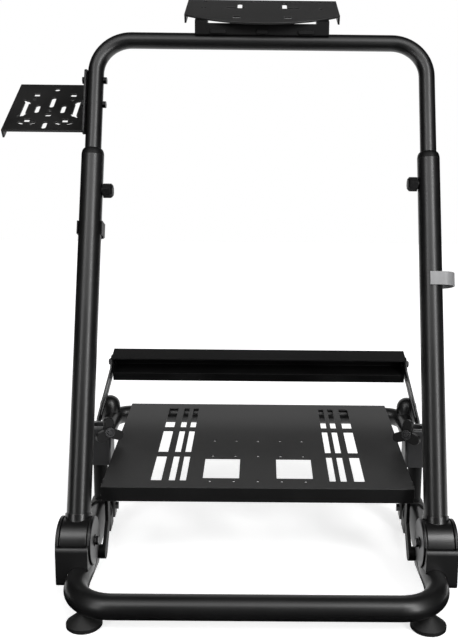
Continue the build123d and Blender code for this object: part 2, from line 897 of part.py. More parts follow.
arm_seat = leg_x + loop_r + weld_gap
stop_half = arm_seat - stop_inset
stop_bolt_z = loop_z - (loop_rear - stop_bolt_y) * tan(pedal_slope)
stop_end = stop_point(stop_depth / 2, 0)


def stop_arm(side):
    """Slotted strip, cranked inwards from the loop's side up to the stop bar's end."""
    run = Vector(0, stop_end[0] - stop_bolt_y, stop_end[1] - stop_bolt_z)
    low = Vector(side * arm_seat, stop_bolt_y, stop_bolt_z)
    across = Vector(1, 0, 0).cross(run.normalized())
    face = Plane(low, x_dir=(side, 0, 0), z_dir=across * side)
    reach = stop_arm_width / 2
    with BuildPart() as arm:
        with BuildSketch(face.offset(-reach)):
            with BuildLine():
                crank = FilletPolyline(
                    (0, -reach),
                    (0, stop_pad),
                    (-stop_inset, run.length - stop_pad),
                    (-stop_inset, run.length + reach),
                    radius=stop_pad / 2,
                )
                offset(crank, amount=stop_arm_thick, side=Side.RIGHT)
            make_face()
        extrude(amount=2 * reach)
        with BuildSketch(Plane(low, x_dir=run, z_dir=(side, 0, 0)).offset(-2 * stop_inset)):
            with Locations((run.length / 2, 0)):
                SlotCenterToCenter(run.length, stop_arm_width)
                SlotCenterToCenter(run.length - 2 * stop_slot_inset, stop_slot_width, mode=Mode.SUBTRACT)
            with Locations((0, 0), (run.length, 0)):
                Circle(stop_bolt_d / 2, mode=Mode.SUBTRACT)
        extrude(amount=4 * stop_inset, mode=Mode.INTERSECT)
    return arm.part


with BuildPart() as stop_bar:
    with BuildSketch(side_plane(-stop_half + weld_gap)):
        with BuildLine():
            Polyline(
                stop_point(0, stop_height / 2),
                stop_point(stop_depth, stop_height / 2),
                stop_point(stop_depth, -stop_height / 2),
                stop_point(0, -stop_height / 2),
                stop_point(0, -stop_height / 2 - stop_lip),
                stop_point(stop_sheet, -stop_height / 2 - stop_lip),
                stop_point(stop_sheet, -stop_height / 2 - stop_sheet),
                stop_point(stop_depth + stop_sheet, -stop_height / 2 - stop_sheet),
                stop_point(stop_depth + stop_sheet, stop_height / 2 + stop_sheet),
                stop_point(0, stop_height / 2 + stop_sheet),
                close=True,
            )
        make_face()
    extrude(amount=2 * (stop_half - weld_gap))
    for side in SIDES.values():
        with BuildSketch(side_plane(side * (stop_half - weld_gap))):
            with BuildLine():
                Polyline(
                    stop_point(0, stop_height / 2),
                    stop_point(stop_depth, stop_height / 2),
                    stop_point(stop_depth, -stop_height / 2),
                    stop_point(0, -stop_height / 2),
                    close=True,
                )
            make_face()
            with Locations(stop_end):
                Circle(stop_bolt_d / 2, mode=Mode.SUBTRACT)
        extrude(amount=-side * stop_sheet)
write("stop_bar", stop_bar.part)

for tag, side in SIDES.items():
    write(f"collar_block_{tag}", collar_block(side))
    write(f"wing_knob_{tag}", wing_knob(side))
    write(f"stop_arm_{tag}", stop_arm(side))

# Origin: the middle of the underside of the whole stand's box
box = Compound(children=[piece.moved(Location()) for piece in pieces.values()]).bounding_box()
to_origin = Location((-box.center().X, -box.center().Y, -box.min.Z))
for name, piece in pieces.items():
    placed = piece.moved(to_origin)
    placed.label = name
    export_step(placed, f"parts/{name}.step")
print("moved by", to_origin.position, "size", box.size)
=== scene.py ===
"""Looks of a racing wheel stand: finishes, small hardware, studio light and camera."""

import json
import logging
import math
from dataclasses import dataclass, field
from enum import Enum
from typing import Callable, Iterable

import bmesh
import bpy
from mathutils import Matrix, Vector


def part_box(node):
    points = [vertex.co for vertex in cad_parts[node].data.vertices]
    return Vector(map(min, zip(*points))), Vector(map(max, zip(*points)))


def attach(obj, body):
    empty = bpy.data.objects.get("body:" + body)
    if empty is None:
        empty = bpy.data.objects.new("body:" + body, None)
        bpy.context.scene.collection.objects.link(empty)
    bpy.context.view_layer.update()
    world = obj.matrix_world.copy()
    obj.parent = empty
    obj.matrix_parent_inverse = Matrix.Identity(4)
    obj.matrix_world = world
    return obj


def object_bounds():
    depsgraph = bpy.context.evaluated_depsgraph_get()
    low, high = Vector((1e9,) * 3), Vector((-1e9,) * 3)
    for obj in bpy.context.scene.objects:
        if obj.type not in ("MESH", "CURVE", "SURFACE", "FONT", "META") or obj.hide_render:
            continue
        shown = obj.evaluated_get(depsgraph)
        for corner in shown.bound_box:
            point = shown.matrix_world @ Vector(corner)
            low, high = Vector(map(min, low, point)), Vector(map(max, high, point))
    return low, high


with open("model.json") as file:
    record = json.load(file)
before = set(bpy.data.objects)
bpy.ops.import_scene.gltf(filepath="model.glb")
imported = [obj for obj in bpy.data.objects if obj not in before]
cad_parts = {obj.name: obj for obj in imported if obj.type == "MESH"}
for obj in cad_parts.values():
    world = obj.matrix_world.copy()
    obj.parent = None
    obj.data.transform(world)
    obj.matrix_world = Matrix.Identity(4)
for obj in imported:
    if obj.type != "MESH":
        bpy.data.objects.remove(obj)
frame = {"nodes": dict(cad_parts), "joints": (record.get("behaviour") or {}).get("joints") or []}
CAD_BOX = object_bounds()
LOG = logging.getLogger("wheel_stand")

Tree = bpy.types.NodeTree
Socket = bpy.types.NodeSocket
Colour = tuple[float, float, float]
Point = tuple[float, float, float]

# All lengths in this file are in metres.
ROUND_SIDES = 32
HEX_SIDES = 6
UP = Vector((0, 0, 1))
TO_DRIVER = Vector((0, -1, 0))

FLOAT_SOCKET = "NodeSocketFloat"
VECTOR_SOCKET = "NodeSocketVector"
GRAIN_DETAIL = 2.5
GRAIN_BREAKUP = 0.55
GRAIN_BUMP = 0.0004
GRAIN_SAMPLES = 6
WEAR_SCALE = 160.0
WEAR_DETAIL = 4.0
WEAR_SAMPLES = 4
CLOUD_SCALE = 14.0
CLOUD_DETAIL = 5.0
TINT_FROM = 0.3
TINT_TO = 0.7
# Colour laid on upward faces: dust, and a painted sheen of light from above.
DUST_AND_SHEEN_COLOUR = (0.35, 0.34, 0.33, 1.0)


class Side(Enum):
    """The driver's two sides, with the sign of X on each."""

    LEFT = ("l", -1.0)
    RIGHT = ("r", 1.0)

    @property
    def tag(self) -> str:
        """Ending of this side's node names."""
        return self.value[0]

    @property
    def sign(self) -> float:
        """Sign of X on this side."""
        return self.value[1]


def joint_place(name: str) -> Vector:
    """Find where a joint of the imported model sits.

    Args:
        name: the joint's name in the record.

    Returns:
        The joint's place.
    """
    for joint in frame["joints"]:
        if joint["name"] == name:
            return Vector(joint["pos_m"])
    raise KeyError(name)


# Shader nodes


def node(tree: Tree, kind: str, **settings: object) -> bpy.types.Node:
    """Add a node and set its properties.

    Args:
        tree: the tree that takes the node.
        kind: the node's type.
        settings: properties of the node by name.

    Returns:
        The new node.
    """
    made = tree.nodes.new(kind)
    for key, value in settings.items():
        setattr(made, key, value)
    return made


def set_inputs(shown: bpy.types.Node, values: dict[str, object]) -> None:
    """Set a node's unlinked inputs.

    Args:
        shown: the node.
        values: the values by socket name.
    """
    for key, value in values.items():
        shown.inputs[key].default_value = value


def math_node(tree: Tree, operation: str, first: Socket | float, second: Socket | float) -> Socket:
    """Add a two-input math node.

    Args:
        tree: the tree that takes the node.
        operation: the math operation.
        first: a socket or a number.
        second: a socket or a number.

    Returns:
        The node's output socket.
    """
    made = node(tree, "ShaderNodeMath", operation=operation)
    for index, value in enumerate((first, second)):
        if isinstance(value, Socket):
            tree.links.new(value, made.inputs[index])
        else:
            made.inputs[index].default_value = value
    return made.outputs[0]


def object_noise(tree: Tree, **values: float) -> bpy.types.Node:
    """Add noise that follows an object's own coordinates.

    Args:
        tree: the tree that takes the noise.
        values: the noise's input values by name.

    Returns:
        The noise node.
    """
    place = node(tree, "ShaderNodeTexCoord")
    noise = node(tree, "ShaderNodeTexNoise")
    set_inputs(noise, values)
    tree.links.new(place.outputs["Object"], noise.inputs["Vector"])
    return noise


def seen_rays(tree: Tree) -> Socket:
    """Tell what is looked at from what is lit.

    Args:
        tree: the tree of a material or of the world.

    Returns:
        A socket that is 1 for camera, glossy and transmission rays, and 0 for the rest.
    """
    rays = node(tree, "ShaderNodeLightPath")
    seen = math_node(tree, "ADD", rays.outputs["Is Camera Ray"], rays.outputs["Is Glossy Ray"])
    seen = math_node(tree, "ADD", seen, rays.outputs["Is Transmission Ray"])
    return math_node(tree, "MINIMUM", seen, 1.0)


# Shader node groups


def new_group(name: str, inputs: Iterable[str], outputs: dict[str, str]) -> Tree:
    """Start a shader node group with named sockets.

    Args:
        name: the group's name.
        inputs: names of its number sockets, which every material sets.
        outputs: socket name to its kind.

    Returns:
        The group, holding only its input and output nodes.
    """
    group = bpy.data.node_groups.new(name, "ShaderNodeTree")
    for label in inputs:
        group.interface.new_socket(label, in_out="INPUT", socket_type=FLOAT_SOCKET)
    for label, kind in outputs.items():
        group.interface.new_socket(label, in_out="OUTPUT", socket_type=kind)
    group.nodes.new("NodeGroupInput")
    group.nodes.new("NodeGroupOutput")
    return group


def ends(group: Tree) -> tuple[bpy.types.Node, bpy.types.Node]:
    """Input and output nodes of a group."""
    return group.nodes["Group Input"], group.nodes["Group Output"]


def grain_group() -> Tree:
    """Fine surface grain over softened edges: a bumped normal and a grain value.

    Returns:
        A group with inputs Scale, Depth and Round, and outputs Normal and Grain.
    """
    group = new_group(
        "surface_grain",
        ("Scale", "Depth", "Round"),
        {"Normal": VECTOR_SOCKET, "Grain": FLOAT_SOCKET},
    )
    enter, leave = ends(group)
    fine = object_noise(group, Detail=GRAIN_DETAIL, Roughness=GRAIN_BREAKUP)
    bevel = node(group, "ShaderNodeBevel", samples=GRAIN_SAMPLES)
    bump = node(group, "ShaderNodeBump")
    set_inputs(bump, {"Distance": GRAIN_BUMP})
    group.links.new(enter.outputs["Scale"], fine.inputs["Scale"])
    group.links.new(enter.outputs["Round"], bevel.inputs["Radius"])
    group.links.new(enter.outputs["Depth"], bump.inputs["Strength"])
    group.links.new(fine.outputs["Fac"], bump.inputs["Height"])
    group.links.new(bevel.outputs["Normal"], bump.inputs["Normal"])
    group.links.new(bump.outputs["Normal"], leave.inputs["Normal"])
    group.links.new(fine.outputs["Fac"], leave.inputs["Grain"])
    return group


def edge_group() -> Tree:
    """Mask that is bright along worn outer edges.

    Returns:
        A group with inputs Width and Gain, and output Mask.
    """
    group = new_group("edge_wear", ("Width", "Gain"), {"Mask": FLOAT_SOCKET})
    enter, leave = ends(group)
    broken = object_noise(group, Scale=WEAR_SCALE, Detail=WEAR_DETAIL)
    bevel = node(group, "ShaderNodeBevel", samples=WEAR_SAMPLES)
    shape = node(group, "ShaderNodeNewGeometry")
    lean = node(group, "ShaderNodeVectorMath", operation="DOT_PRODUCT")
    group.links.new(enter.outputs["Width"], bevel.inputs["Radius"])
    group.links.new(bevel.outputs["Normal"], lean.inputs[0])
    group.links.new(shape.outputs["Normal"], lean.inputs[1])
    turned = math_node(group, "SUBTRACT", 1.0, lean.outputs["Value"])
    raised = math_node(group, "MULTIPLY", turned, enter.outputs["Gain"])
    patchy = math_node(group, "MULTIPLY", raised, broken.outputs["Fac"])
    capped = math_node(group, "MINIMUM", patchy, 1.0)
    group.links.new(math_node(group, "MAXIMUM", capped, 0.0), leave.inputs["Mask"])
    return group


def dust_and_top_sheen_group() -> Tree:
    """Mask that lightens upward faces: faint dust and handling marks, and a painted sheen that
    stands in for light from above.

    Returns:
        A group with input Amount, and outputs Mask and Smear.
    """
    group = new_group("settled_dust", ("Amount",), {"Mask": FLOAT_SOCKET, "Smear": FLOAT_SOCKET})
    enter, leave = ends(group)
    cloud = object_noise(group, Scale=CLOUD_SCALE, Detail=CLOUD_DETAIL)
    shape = node(group, "ShaderNodeNewGeometry")
    split = node(group, "ShaderNodeSeparateXYZ")
    group.links.new(shape.outputs["Normal"], split.inputs[0])
    upward = math_node(group, "MAXIMUM", split.outputs["Z"], 0.0)
    settled = math_node(group, "MULTIPLY", upward, cloud.outputs["Fac"])
    mask = math_node(group, "MULTIPLY", settled, enter.outputs["Amount"])
    group.links.new(mask, leave.inputs["Mask"])
    group.links.new(cloud.outputs["Fac"], leave.inputs["Smear"])
    return group


GROUPS: dict[str, Tree] = {}


def place_group(tree: Tree, make: Callable[[], Tree], **values: float) -> bpy.types.Node:
    """Place a shared group in a material, building it the first time.

    Args:
        tree: the material's tree.
        make: the function that builds the group.
        values: the group's input values by name.

    Returns:
        The group node.
    """
    if make.__name__ not in GROUPS:
        GROUPS[make.__name__] = make()
    placed = node(tree, "ShaderNodeGroup", node_tree=GROUPS[make.__name__])
    set_inputs(placed, values)
    return placed


# Finishes


@dataclass(frozen=True)
class Finish:
    """One finish: its colours, gloss and surface relief."""

    name: str
    colour: Colour
    worn: Colour
    roughness: float
    roughness_swing: float = 0.08
    metallic: float = 0.0
    specular: float = 0.5
    grain_scale: float = 900.0
    grain_depth: float = 0.1
    edge_round: float = 0.0009
    colour_swing: float = 0.2
    edge_width: float = 0.0012
    edge_gain: float = 3.0
    # How much upward faces lighten: dust, and a painted sheen of light from above.
    dust: float = 0.06

    def material(self) -> bpy.types.Material:
        """Build this finish as a material, or find it if it is already built.

        Returns:
            The material.
        """
        if self.name in bpy.data.materials:
            return bpy.data.materials[self.name]
        made = bpy.data.materials.new(self.name)
        made.use_nodes = True
        tree = made.node_tree
        surface = tree.nodes["Principled BSDF"]
        set_inputs(surface, {"Metallic": self.metallic, "Specular IOR Level": self.specular})
        grain = place_group(
            tree, grain_group, Scale=self.grain_scale, Depth=self.grain_depth, Round=self.edge_round
        )
        edge = place_group(tree, edge_group, Width=self.edge_width, Gain=self.edge_gain)
        # Upward faces lightened: partly dust, partly a painted sheen of light from above.
        dust = place_group(tree, dust_and_top_sheen_group, Amount=self.dust)
        body = self._tint(tree, dust.outputs["Smear"])
        worn = self._mix(tree, edge.outputs["Mask"], body, (*self.worn, 1.0))
        dusty_and_sheened = self._mix(tree, dust.outputs["Mask"], worn, DUST_AND_SHEEN_COLOUR)
        gloss = self._gloss(tree, grain.outputs["Grain"], dust.outputs["Smear"])
        tree.links.new(dusty_and_sheened, surface.inputs["Base Color"])
        tree.links.new(gloss, surface.inputs["Roughness"])
        tree.links.new(grain.outputs["Normal"], surface.inputs["Normal"])
        return made

    def _tint(self, tree: Tree, smear: Socket) -> Socket:
        """Base colour that swings a little over the surface.

        Args:
            tree: the material's tree.
            smear: a cloudy value from 0 to 1.

        Returns:
            The colour socket.
        """
        ramp = node(tree, "ShaderNodeValToRGB")
        low, high = ramp.color_ramp.elements
        low.position, high.position = TINT_FROM, TINT_TO
        low.color = (*(part * (1 - self.colour_swing) for part in self.colour), 1.0)
        high.color = (*(part * (1 + self.colour_swing) for part in self.colour), 1.0)
        tree.links.new(smear, ramp.inputs["Fac"])
        return ramp.outputs["Color"]

    @staticmethod
    def _mix(
        tree: Tree, mask: Socket, under: Socket, over: tuple[float, float, float, float]
    ) -> Socket:
        """Lay a colour over another by a mask.

        Args:
            tree: the material's tree.
            mask: how much of the upper colour shows.
            under: the lower colour.
            over: the upper colour.

        Returns:
            The mixed colour socket.
        """
        blend = node(tree, "ShaderNodeMix", data_type="RGBA")
        tree.links.new(mask, blend.inputs["Factor"])
        tree.links.new(under, blend.inputs["A"])
        set_inputs(blend, {"B": over})
        return blend.outputs["Result"]

    def _gloss(self, tree: Tree, grain: Socket, smear: Socket) -> Socket:
        """Roughness that follows the grain and the handling marks.

        Args:
            tree: the material's tree.
            grain: the fine grain value.
            smear: the cloudy value.

        Returns:
            The roughness socket.
        """
        summed = math_node(tree, "ADD", grain, smear)
        centred = math_node(tree, "SUBTRACT", summed, 1.0)
        swung = math_node(tree, "MULTIPLY", centred, self.roughness_swing)
        return math_node(tree, "ADD", swung, self.roughness)


TUBE_COAT = Finish(
    "tube_powder_coat",
    colour=(0.0045, 0.0045, 0.0047),
    worn=(0.03, 0.03, 0.03),
    roughness=0.36,
    specular=0.6,
    grain_depth=0.05,
    dust=0.01,
)
BRACKET_COAT = Finish(
    "bracket_powder_coat",
    colour=(0.004, 0.004, 0.0042),
    worn=(0.03, 0.03, 0.03),
    roughness=0.42,
    specular=0.7,
    grain_depth=0.07,
    edge_round=0.002,
    dust=0.01,
)
PLATE_COAT = Finish(
    "plate_powder_coat",
    colour=(0.0035, 0.0035, 0.0037),
    worn=(0.06, 0.06, 0.06),
    roughness=0.5,
    specular=0.52,
    grain_scale=1300.0,
    grain_depth=0.14,
    edge_round=0.0025,
    edge_gain=5.0,
    # Plate tops lighten most: dust, and a painted sheen of light from above.
    dust=0.05,
)
# Darker, less glossy copy of the powder coat: painted shade for parts that sit in shade.
SHADE_DARKENED_COAT = Finish(
    "shade_darkened_powder_coat",
    colour=(0.0025, 0.0025, 0.0026),
    worn=(0.02, 0.02, 0.02),
    roughness=0.5,
    specular=0.14,
    grain_scale=1300.0,
    grain_depth=0.14,
    edge_round=0.0025,
    dust=0.01,
)
DRUM_PLASTIC = Finish(
    "satin_moulded_plastic",
    colour=(0.003, 0.003, 0.0031),
    worn=(0.03, 0.03, 0.03),
    roughness=0.31,
    specular=0.8,
    grain_scale=2200.0,
    grain_depth=0.05,
    dust=0.01,
)
BLACK_PLASTIC = Finish(
    "black_moulded_plastic",
    colour=(0.003, 0.003, 0.0031),
    worn=(0.03, 0.03, 0.03),
    roughness=0.46,
    specular=0.18,
    grain_scale=2200.0,
    grain_depth=0.12,
    edge_gain=4.0,
    dust=0.01,
)
# Lighter copy of the black plastic: painted light on the collar blocks' lit front faces.
LIT_BLOCK_PLASTIC = Finish(
    "lit_block_plastic",
    colour=(0.018, 0.018, 0.019),
    worn=(0.05, 0.05, 0.05),
    roughness=0.42,
    specular=0.6,
    grain_scale=2200.0,
    grain_depth=0.08,
    dust=0.01,
)
# Pale grey copy of the clips' black plastic: a painted reflection of light on the right clip's
# face.
CLIP_REFLECTION_GREY = Finish(
    "clip_reflection_grey_plastic",
    colour=(0.25, 0.25, 0.255),
    worn=(0.35, 0.35, 0.35),
    roughness=0.4,
    grain_scale=2200.0,
    dust=0.02,
)
BLACK_STEEL = Finish(
    "black_oxide_steel",
    colour=(0.03, 0.03, 0.031),
    worn=(0.16, 0.16, 0.16),
    roughness=0.34,
    metallic=1.0,
    grain_scale=700.0,
    grain_depth=0.05,
    dust=0.02,
)
RUBBER = Finish(
    "black_rubber",
    colour=(0.006, 0.006, 0.006),
    worn=(0.02, 0.02, 0.02),
    roughness=0.55,
    specular=0.4,
    grain_scale=1500.0,
    grain_depth=0.2,
    dust=0.03,
)


def dress(names: Iterable[str], finish: Finish) -> None:
    """Give CAD nodes a finish.

    Args:
        names: the nodes' names.
        finish: the finish they take.
    """
    for name in names:
        shown = frame["nodes"][name]
        shown.data.materials.clear()
        shown.data.materials.append(finish.material())
        LOG.info("dressed %s in %s", name, finish.name)


def both(*stems: str) -> list[str]:
    """Names of a node on both sides, for each stem."""
    return [f"{stem}_{side.tag}" for stem in stems for side in Side]


# Small hardware


def new_mesh(name: str, shape: bmesh.types.BMesh, smooth: bool = False) -> bpy.types.Mesh:
    """Turn a finished shape into a mesh.

    Args:
        name: the mesh's name.
        shape: the shape, which is freed.
        smooth: whether its faces are shaded as one curve.

    Returns:
        The mesh.
    """
    bmesh.ops.recalc_face_normals(shape, faces=shape.faces)
    for face in shape.faces:
        face.smooth = smooth
    made = bpy.data.meshes.new(name)
    shape.to_mesh(made)
    shape.free()
    return made


def loft(shape: bmesh.types.BMesh, rings: list[list[Point]]) -> None:
    """Join rings of points into a closed solid.

    Args:
        shape: the shape that takes it.
        rings: rings of as many points each, from the bottom up.
    """
    laid = [[shape.verts.new(point) for point in ring] for ring in rings]
    for lower, upper in zip(laid, laid[1:]):
        for step in range(len(lower)):
            after = (step + 1) % len(lower)
            shape.faces.new((lower[step], lower[after], upper[after], upper[step]))
    shape.faces.new(list(reversed(laid[0])))
    shape.faces.new(laid[-1])


def spin(shape: bmesh.types.BMesh, profile: list[tuple[float, float]], sides: int) -> None:
    """Spin a profile round Z into a closed solid.

    Args:
        shape: the shape that takes it.
        profile: radius and height of each ring, from the bottom up.
        sides: how many flats go round.
    """
    turns = [2 * math.pi * step / sides for step in range(sides)]
    loft(shape, [[(r * math.cos(a), r * math.sin(a), z) for a in turns] for r, z in profile])


@dataclass
class Screw:
    """A hexagon head with a chamfered crown on its washer, drawn along its own +Z."""

    across: float
    height: float
    washer: float
    washer_thick: float = 0.0012
    crown_width: float = 0.82
    crown_height: float = 0.25

    def mesh(self, name: str) -> bpy.types.Mesh:
        """Build the head and washer.

        Args:
            name: the mesh's name.

        Returns:
            The mesh.
        """
        shape = bmesh.new()
        spin(shape, [(self.washer / 2, 0.0), (self.washer / 2, self.washer_thick)], ROUND_SIDES)
        radius = self.across / 2
        top = self.washer_thick + self.height
        head = [
            (radius, self.washer_thick),
            (radius, top - self.height * self.crown_height),
            (radius * self.crown_width, top),
        ]
        spin(shape, head, HEX_SIDES)
        return new_mesh(name, shape)


@dataclass
class Pad:
    """A flat round-ended pad with softened rims, drawn up its own +Y and thick along +Z."""

    reach: float
    width: float
    thick: float
    rim: float

    def mesh(self, name: str) -> bpy.types.Mesh:
        """Build the pad from its first end's middle.

        Args:
            name: the mesh's name.

        Returns:
            The mesh.
        """
        shape = bmesh.new()
        full = self.width / 2
        loft(
            shape,
            [
                self._outline(full - self.rim, 0.0),
                self._outline(full, self.rim),
                self._outline(full, self.thick - self.rim),
                self._outline(full - self.rim, self.thick),
            ],
        )
        return new_mesh(name, shape)

    def _outline(self, radius: float, height: float) -> list[Point]:
        """Round the pad's outline at one height.

        Args:
            radius: half of the outline's width.
            height: the outline's height.

        Returns:
            Its points in order.
        """
        half = ROUND_SIDES // 2
        turns = [math.pi * step / half for step in range(half + 1)]
        far = [(radius * math.cos(a), self.reach + radius * math.sin(a), height) for a in turns]
        near = [(-radius * math.cos(a), -radius * math.sin(a), height) for a in turns]
        return far + near


@dataclass
class Capsule:
    """An upright post with domed ends, drawn along its own +Z from its lowest point."""

    width: float
    height: float
    dome_steps: int = 8

    def mesh(self, name: str) -> bpy.types.Mesh:
        """Build the post.

        Args:
            name: the mesh's name.

        Returns:
            The mesh.
        """
        radius = self.width / 2
        turns = [math.pi / 2 * step / self.dome_steps for step in range(1, self.dome_steps + 1)]
        low = [(radius * math.sin(a), radius * (1 - math.cos(a))) for a in turns]
        high = [(r, self.height - z) for r, z in reversed(low)]
        shape = bmesh.new()
        spin(shape, low + high, ROUND_SIDES)
        return new_mesh(name, shape, smooth=True)


def place_piece(
    mesh: bpy.types.Mesh,
    place: Vector,
    way: Vector,
    body: str,
    finish: Finish,
    turn: float = 0.0,
) -> None:
    """Set a piece on the stand and let it ride on a body.

    Args:
        mesh: the piece's mesh, drawn along its own +Z.
        place: where its foot sits.
        way: the direction that its +Z takes.
        body: the body that carries it.
        finish: the finish it takes.
        turn: how far it is turned round its own +Z, in radians.
    """
    piece = bpy.data.objects.new(mesh.name, mesh)
    bpy.context.scene.collection.objects.link(piece)
    lie = way.to_track_quat("Z", "Y").to_matrix().to_4x4()
    piece.matrix_world = Matrix.Translation(place) @ lie @ Matrix.Rotation(turn, 4, "Z")
    mesh.materials.append(finish.material())
    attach(piece, body)
    LOG.info("placed %s on %s", mesh.name, body)


# Sub-assemblies


@dataclass
class Base:
    """Floor tube, knuckle brackets, feet and leg posts."""

    cap_screw: Screw = field(default_factory=lambda: Screw(0.013, 0.004, 0.018))

    def build(self) -> None:
        """Set a screw head in the middle of each knuckle cover."""
        for side in Side:
            low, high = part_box(f"knuckle_pin_{side.tag}")
            hub = (low + high) / 2
            for label, x, sign in (("in", low.x, -1.0), ("out", high.x, 1.0)):
                seat, way = Vector((x, hub.y, hub.z)), Vector((sign, 0, 0))
                mesh = self.cap_screw.mesh(f"cover_screw_{side.tag}_{label}")
                place_piece(mesh, seat, way, "base", BLACK_STEEL)

    def dress(self) -> None:
        """Give the base's nodes their finishes."""
        dress(["floor_tube"], TUBE_COAT)
        dress(both("knuckle_bracket", "boot_tab"), BRACKET_COAT)
        # Leg posts and pedal lugs take a darker copy of the coat: painted shade.
        dress(both("leg_post", "pedal_lug"), SHADE_DARKENED_COAT)
        dress(both("knuckle_pin", "pedal_pivot"), BLACK_STEEL)
        dress(both("front_foot", "rear_boot"), RUBBER)


@dataclass
class Uprights:
    """Outer tubes with their drums, collars, knobs and clips."""

    def dress(self) -> None:
        """Give the uprights' nodes their finishes."""
        dress(both("upright_tube"), TUBE_COAT)
        dress(both("knuckle_drum"), DRUM_PLASTIC)
        dress(both("tube_collar", "height_knob"), BLACK_PLASTIC)
        dress(["cable_clip_l"], BLACK_PLASTIC)
        # The right clip is pale grey where its twin is black: a painted reflection of light on its
        # face.
        dress(["cable_clip_r"], CLIP_REFLECTION_GREY)


@dataclass
class UBar:
    """Sliding inner tube with the shifter plate."""

    def dress(self) -> None:
        """Give the U bar's nodes their finishes."""
        dress(["u_bar"], TUBE_COAT)
        dress(["shifter_plate"], PLATE_COAT)
        dress(["shifter_bolt_lower", "shifter_bolt_upper"], BLACK_STEEL)


@dataclass
class WheelDeck:
    """Wheel plate on its bracket."""

    pad_spread: float = 0.0715
    pad_rise: float = 0.0045
    pad_turn: float = math.pi / 2
    side_pad: Pad = field(default_factory=lambda: Pad(0.020, 0.007, 0.003, 0.001))
    middle_pad: Pad = field(default_factory=lambda: Pad(0.012, 0.007, 0.003, 0.001))

    def build(self) -> None:
        """Set three round-ended clamp pads along the foot of the bracket's front face."""
        low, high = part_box("wheel_bracket")
        for label, pad, spread in (
            ("left", self.side_pad, -self.pad_spread),
            ("middle", self.middle_pad, 0.0),
            ("right", self.side_pad, self.pad_spread),
        ):
            across = (low.x + high.x) / 2 + spread + pad.reach / 2
            end = Vector((across, low.y, low.z + self.pad_rise))
            place_piece(
                pad.mesh(f"bracket_pad_{label}"),
                end,
                TO_DRIVER,
                "wheel_deck",
                BLACK_PLASTIC,
                self.pad_turn,
            )

    def dress(self) -> None:
        """Give the wheel deck's nodes their finishes."""
        dress(["wheel_plate"], PLATE_COAT)
        # The bracket under the plate takes a darker copy of the coat: painted shade.
        dress(["wheel_bracket"], SHADE_DARKENED_COAT)


@dataclass
class RearLoop:
    """Rear loop, its collar blocks and the stop bar."""

    arm_end: float = 0.013
    arm_thick: float = 0.003
    arm_bolt: Screw = field(default_factory=lambda: Screw(0.013, 0.004, 0.0175))
    arm_nut: Screw = field(default_factory=lambda: Screw(0.013, 0.0055, 0.016))
    corner: Capsule = field(default_factory=lambda: Capsule(0.038, 0.058))
    corner_top: float = 0.025
    corner_out: float = 0.0105
    corner_in: float = 0.0325
    wing_turn: float = math.radians(30)
    wing_rise: float = math.radians(10)
    wing_stem: float = 0.008
    wing_height: float = 0.061
    wing_inset: float = 0.016
    lobe: Pad = field(default_factory=lambda: Pad(0.0175, 0.017, 0.011, 0.0015))
    hub_cap: Screw = field(default_factory=lambda: Screw(0.011, 0.0015, 0.017))

    def build(self) -> None:
        """Set the stop arms' bolts, the loop's corner posts and the knobs' upper lobes."""
        for side in Side:
            self._bolts(side)
            self._corner(side)
            self._knob(side)

    def _bolts(self, side: Side) -> None:
        """Bolt a stop arm to the loop and to the stop bar.

        Args:
            side: the side of the stand.
        """
        low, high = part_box(f"stop_arm_{side.tag}")
        outer = low.x if side is Side.LEFT else high.x
        inner = high.x if side is Side.LEFT else low.x
        out = Vector((side.sign, 0, 0))
        foot = Vector((outer, low.y + self.arm_end, low.z + self.arm_end))
        inside = Vector((inner, high.y - self.arm_end, high.z - self.arm_end))
        outside = inside + out * self.arm_thick
        for label, drawn, place, way in (
            ("arm_foot_bolt", self.arm_bolt, foot, out),
            ("arm_head_bolt", self.arm_bolt, outside, out),
            ("arm_head_nut", self.arm_nut, inside, -out),
        ):
            mesh = drawn.mesh(f"{label}_{side.tag}")
            place_piece(mesh, place, way, "rear_loop", BLACK_STEEL)

    def _corner(self, side: Side) -> None:
        """Stand a domed post at a rear corner of the loop.

        Args:
            side: the side of the stand.
        """
        low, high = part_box("rear_loop")
        edge = low.x if side is Side.LEFT else high.x
        across, along = edge - side.sign * self.corner_out, high.y - self.corner_in
        foot = Vector((across, along, high.z + self.corner_top - self.corner.height))
        mesh = self.corner.mesh(f"loop_corner_{side.tag}")
        place_piece(mesh, foot, UP, "rear_loop", TUBE_COAT)

    def _knob(self, side: Side) -> None:
        """Add the upper lobe and the hub's cap to a wing knob.

        Args:
            side: the side of the stand.
        """
        low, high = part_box(f"collar_block_{side.tag}")
        level = math.cos(self.wing_rise)
        inward = -side.sign * math.sin(self.wing_turn) * level
        way = Vector((inward, -math.cos(self.wing_turn) * level, math.sin(self.wing_rise)))
        across = (low.x + high.x) / 2 - side.sign * self.wing_inset
        hub = Vector((across, low.y, low.z + self.wing_height)) + way * self.wing_stem
        lobe = self.lobe.mesh(f"wing_lobe_{side.tag}")
        place_piece(lobe, hub, way, "rear_loop", BLACK_PLASTIC)
        cap = self.hub_cap.mesh(f"wing_cap_{side.tag}")
        crown = hub + way * self.lobe.thick
        place_piece(cap, crown, way, "rear_loop", BLACK_STEEL)

    def dress(self) -> None:
        """Give the rear loop's nodes their finishes."""
        dress(["rear_loop"], TUBE_COAT)
        # The stop bar takes a darker copy of the coat: painted shade.
        dress(["stop_bar"], SHADE_DARKENED_COAT)
        dress(both("stop_arm"), BRACKET_COAT)
        # The collar blocks take a lighter copy of the black plastic: painted light on their fronts.
        dress(both("collar_block"), LIT_BLOCK_PLASTIC)
        dress(both("wing_knob"), BLACK_PLASTIC)


@dataclass
class PedalDeck:
    """Pedal plate."""

    def dress(self) -> None:
        """Give the pedal plate its finish."""
        dress(["pedal_plate"], PLATE_COAT)


# Studio


